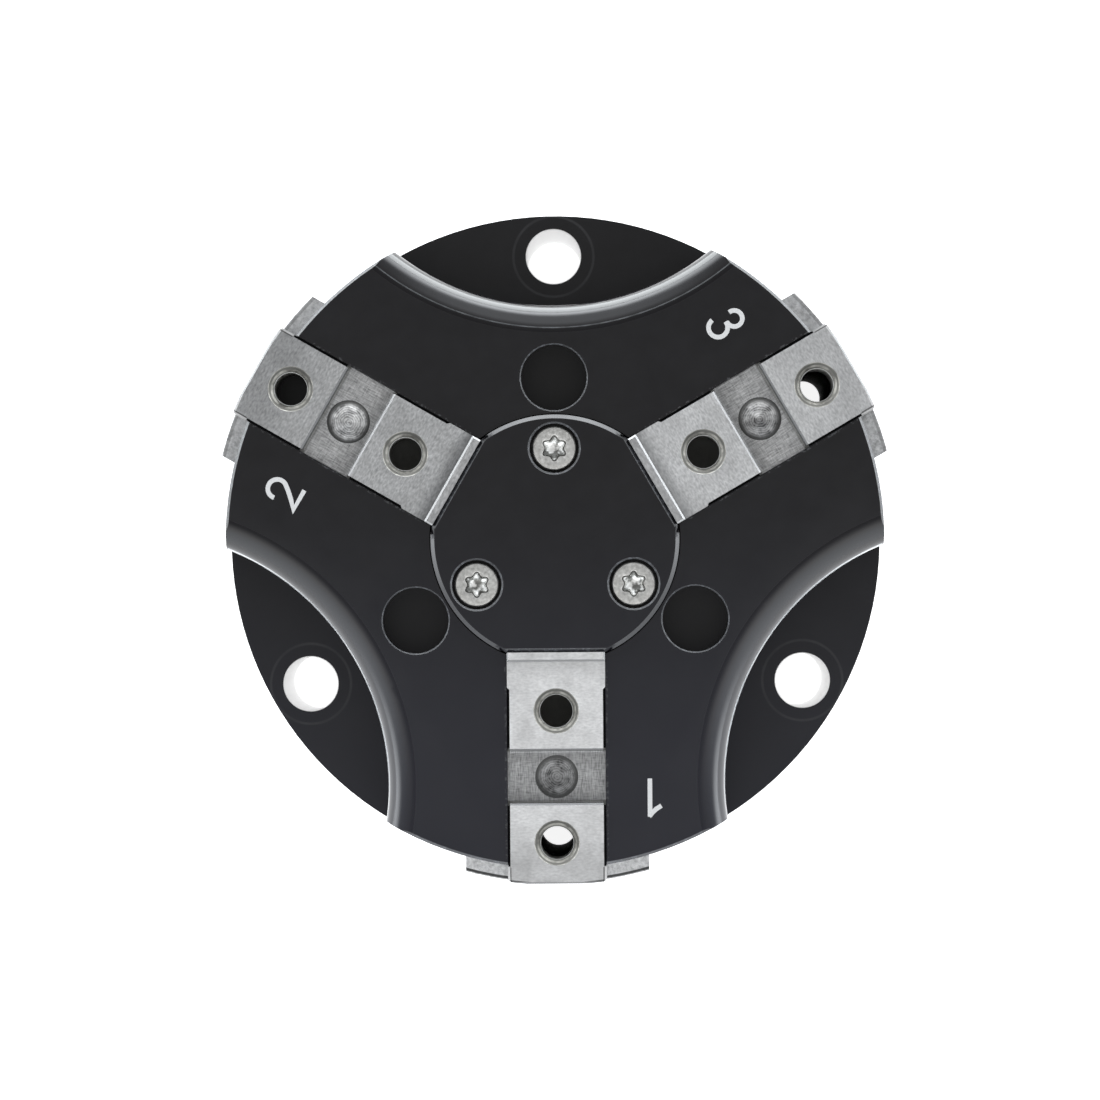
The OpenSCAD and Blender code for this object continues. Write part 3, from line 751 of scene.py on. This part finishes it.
def ground_steel(name, angle, finish):
    """Hardened jaw steel: ground lands, a milled groove with a spot hole, dark tapped holes; its
    tones, with painted light and shade, are set per jaw.
    """
    material, tree, shader = new_material(name)
    jaw = jaw_fields(tree, angle)
    beside = over(tree, jaw.sideways, slot_half + 0.05 * MM)
    groove = times(tree, band(tree, jaw.along, groove_at - 4.3 * MM, groove_at + 4.3 * MM, 0.05 * MM),
                   under(tree, jaw.height, jaw_top - 0.35 * MM))
    colour = jaw_outer_end(tree, jaw, finish, jaw_land(tree, jaw, finish))
    colour = mix_colours(tree, beside, colour, jaw_flange(tree, jaw, finish))
    colour = mix_colours(tree, groove, colour, jaw_groove(tree, jaw, finish))

    # chamfers of the lip and the groove, with painted light: the lip's and the groove's inner chamfers get a
    # colour set per jaw for the light each catches
    chamfer = times(tree, slanted_faces(tree), over(tree, jaw.height, jaw_top - 0.4 * MM))
    inner_side = under(tree, jaw.along, groove_at)
    colour = mix_colours(tree, chamfer, colour, mix_colours(tree, inner_side, 0.16, finish["edge"]))
    colour, threads = jaw_holes(tree, jaw, colour)

    # painted shade: the ledge beside the lands, down in the slot, is coloured near black
    painted_ledge_shade = times(tree, under(tree, jaw.height, jaw_top - 1.2 * MM),
                  band(tree, jaw.sideways, 7.0 * MM, 7.6 * MM, 0.02 * MM),
                  under(tree, jaw.along, body_r - 0.3 * MM), inverse(tree, groove))
    colour = mix_colours(tree, painted_ledge_shade, colour, (0.012, 0.012, 0.013))

    # upright faces: milled, and dark enough not to burn out under the bright low sky
    level = over(tree, height_of_normal(tree), 0.2)
    upright = inverse(tree, largest(tree, level, threads))
    brighter = tuple(1.8 * value for value in finish["upright"])
    colour = mix_colours(tree, upright, colour,
                         mix_colours(tree, jaw.milled, finish["upright"], brighter))
    tree.links.new(colour, shader.inputs["Base Color"])
    tree.links.new(inverse(tree, threads), shader.inputs["Metallic"])
    rough = spread(tree, largest(tree, groove, threads), 0.34, 0.44)
    rough = lifted(tree, rough, largest(tree, beside, upright), 0.14)
    tree.links.new(lifted(tree, rough, jaw.cloud, 0.05), shader.inputs["Roughness"])

    # the marks run across the jaw
    shader.inputs["Anisotropic"].default_value = 0.75
    direction = tree.nodes.new("ShaderNodeCombineXYZ")
    direction.inputs[0].default_value = math.cos(angle)
    direction.inputs[1].default_value = math.sin(angle)
    tree.links.new(direction.outputs[0], shader.inputs["Tangent"])
    marks = tree.nodes.new("ShaderNodeMix")
    tree.links.new(groove, marks.inputs["Factor"])
    tree.links.new(jaw.fine, marks.inputs["A"])
    tree.links.new(jaw.milled, marks.inputs["B"])
    first = bump(tree, shader, marks.outputs["Result"], 0.25, 0.01 * MM)
    in_spot = under(tree, jaw.from_spot, spot_r)
    thread = times(tree, waves(tree, jaw.height, 1.0 * MM), threads)
    bump(tree, shader, lifted(tree, thread, times(tree, jaw.rings, in_spot), 0.15), 0.6, 0.1 * MM,
         after=first)
    return material


def plain_metal(name, colour, rough):
    """A machined or plated metal with fine grain and slight unevenness."""
    material, tree, shader = new_material(name)
    patch = noise(tree, 300.0)
    darker = tuple(c * 0.78 for c in colour)
    tree.links.new(mix_colours(tree, patch, darker, colour), shader.inputs["Base Color"])
    tree.links.new(spread(tree, patch, rough - 0.05, rough + 0.07), shader.inputs["Roughness"])
    shader.inputs["Metallic"].default_value = 1.0
    bump(tree, shader, noise(tree, 1800.0), 0.2, 0.02 * MM)
    return material


def moulded(name, colour, rough):
    """Rubber or plastic with a soft moulded skin."""
    material, tree, shader = new_material(name)
    patch = noise(tree, 500.0, 4.0)
    darker = tuple(c * 0.6 for c in colour)
    tree.links.new(mix_colours(tree, patch, darker, colour), shader.inputs["Base Color"])
    tree.links.new(spread(tree, patch, rough - 0.06, rough + 0.06), shader.inputs["Roughness"])
    bump(tree, shader, noise(tree, 3500.0), 0.25, 0.03 * MM)
    return material


def screw_steel():
    """Zinc plated steel: pale and speckled, with a dark edge round the socket and painted glints inside it."""
    material, tree, shader = new_material("screw_steel")
    z = axes_of(tree, object_coordinates(tree))[2]
    away = nearest_of(tree, [around(screw_at, angle) for angle in lobe_angle])
    in_socket = under(tree, away, 2.12 * MM)
    speckle = contrast(tree, noise(tree, 1900.0, 4.0, roughness=0.65), 0.3, 0.7)
    colour = mix_colours(tree, speckle, (0.52, 0.52, 0.50), (0.80, 0.795, 0.77))
    outline = times(tree, in_socket, slanted_faces(tree))
    colour = mix_colours(tree, outline, colour, (0.05, 0.048, 0.045))
    # painted glints: the socket's inside is dark with near-white patches
    painted_glint = contrast(tree, noise(tree, 900.0, 2.0), 0.42, 0.58)
    inside = times(tree, in_socket, under(tree, z, screw_box[1].z - 0.5 * MM))
    colour = mix_colours(tree, inside, colour,
                         mix_colours(tree, painted_glint, (0.20, 0.20, 0.19), (0.97, 0.97, 0.95)))
    tree.links.new(colour, shader.inputs["Base Color"])
    tree.links.new(spread(tree, speckle, 0.30, 0.44), shader.inputs["Roughness"])
    shader.inputs["Metallic"].default_value = 1.0
    bump(tree, shader, speckle, 0.2, 0.02 * MM)
    return material


def laser_mark():
    """The pale speckled white that a laser leaves in the black film."""
    material, tree, shader = new_material("laser_mark")
    speckle = noise(tree, 4200.0)
    tree.links.new(mix_colours(tree, speckle, 0.36, 0.52), shader.inputs["Base Color"])
    shader.inputs["Roughness"].default_value = 0.6
    bump(tree, shader, speckle, 0.2, 0.01 * MM)
    return material


# ---------- the scene ----------

make_world()
make_camera()
make_floor()

material_of = {
    "anodised_housing": anodised("anodised_housing", housing=True),
    "anodised_cover": anodised("anodised_cover"),
    "screw_steel": screw_steel(),
    "plug_steel": plain_metal("plug_steel", (0.20, 0.20, 0.21), 0.38),
    "spring_steel": plain_metal("spring_steel", (0.10, 0.10, 0.11), 0.42),
    "turned_aluminium": plain_metal("turned_aluminium", (0.72, 0.73, 0.75), 0.28),
    "hook_steel": plain_metal("hook_steel", (0.45, 0.45, 0.47), 0.32),
    "seal_rubber": moulded("seal_rubber", (0.012, 0.012, 0.012), 0.5),
    "seal_polyurethane": moulded("seal_polyurethane", (0.03, 0.06, 0.20), 0.35),
    "bumper_rubber": moulded("bumper_rubber", (0.22, 0.08, 0.03), 0.5),
    "guide_plastic": moulded("guide_plastic", (0.12, 0.16, 0.11), 0.45),
}
# how each jaw is finished and lit, as painted light: tone, tint and grain of its lands, painted
# shade by the lip and on it, the chamfers' edge, the outer end's dimming and broken edge, the
# flange's dark brink, brightness of the groove and of the spot hole, and the colour of its upright
# faces; the jaws are the same steel, and the values differ only to make up for how this studio's
# light falls on each
jaw_finish_and_light = {
    1: {"tone": 0.98, "tint": 0.0, "grain": 0.40, "lip_shade": 0.15, "lip_dim": 0.08, "edge": 0.17,
        "end_dim": 0.26, "end_edge": 0.16, "brink": 0.9, "groove": 0.82, "spot": 0.50,
        "upright": (0.16, 0.16, 0.165)},
    2: {"tone": 0.76, "tint": 0.05, "grain": 0.85, "lip_shade": 0.6, "lip_dim": 0.0, "edge": 0.33,
        "end_dim": 0.26, "end_edge": 0.95, "brink": 0.3, "groove": 1.08, "spot": 1.2,
        "upright": (0.052, 0.052, 0.054)},
    3: {"tone": 0.97, "tint": 0.06, "grain": 0.72, "lip_shade": 0.45, "lip_dim": 0.27, "edge": 0.36,
        "end_dim": 0.12, "end_edge": 0.95, "brink": 0.3, "groove": 1.08, "spot": 0.85,
        "upright": (0.052, 0.052, 0.054)},
}
slot_of = {row["node"]: row["material_slot"] for row in record["subparts"]}
finish_of = {name: material_of.get(slot) for name, slot in slot_of.items()}
for number, angle in jaw_angle.items():
    finish_of[f"base_jaw_{number}"] = ground_steel(f"ground_jaw_steel_{number}", angle,
                                                   jaw_finish_and_light[number])
for name, obj in nodes.items():
    if finish_of[name]:
        obj.data.materials.clear()
        obj.data.materials.append(finish_of[name])

place_piece(broken_edges("housing", "housing_deburred", 0.10 * MM), "body",
            material_of["anodised_housing"], "housing")
cover = broken_edges("centre_cover", "centre_cover_deburred", 0.10 * MM)
raise_cover(cover)
place_piece(cover, "body", material_of["anodised_cover"], "centre_cover")
place_piece(broken_edges("cylinder_cover", "cylinder_cover_deburred", 0.15 * MM), "body",
            anodised("turned_cylinder_cover", turned=True), "cylinder_cover")
for number in jaw_angle:
    node_name = f"base_jaw_{number}"
    place_piece(broken_edges(node_name, f"jaw_{number}_deburred", 0.12 * MM), f"jaw_{number}",
                finish_of[node_name], node_name)

make_floor_panel("back_floor_panel", 0.0, 0.47, (1.3, 0.70), 18.0)
make_floor_panel("left_floor_panel", -0.66, 0.30, (0.90, 0.6), 6.5)
make_floor_panel("right_floor_panel", 0.66, 0.30, (0.90, 0.6), 6.5)

white = laser_mark()
for number in jaw_angle:
    add_digit(number, white)
add_screws(material_of["screw_steel"])

bpy.context.scene.view_settings.view_transform = "Standard"
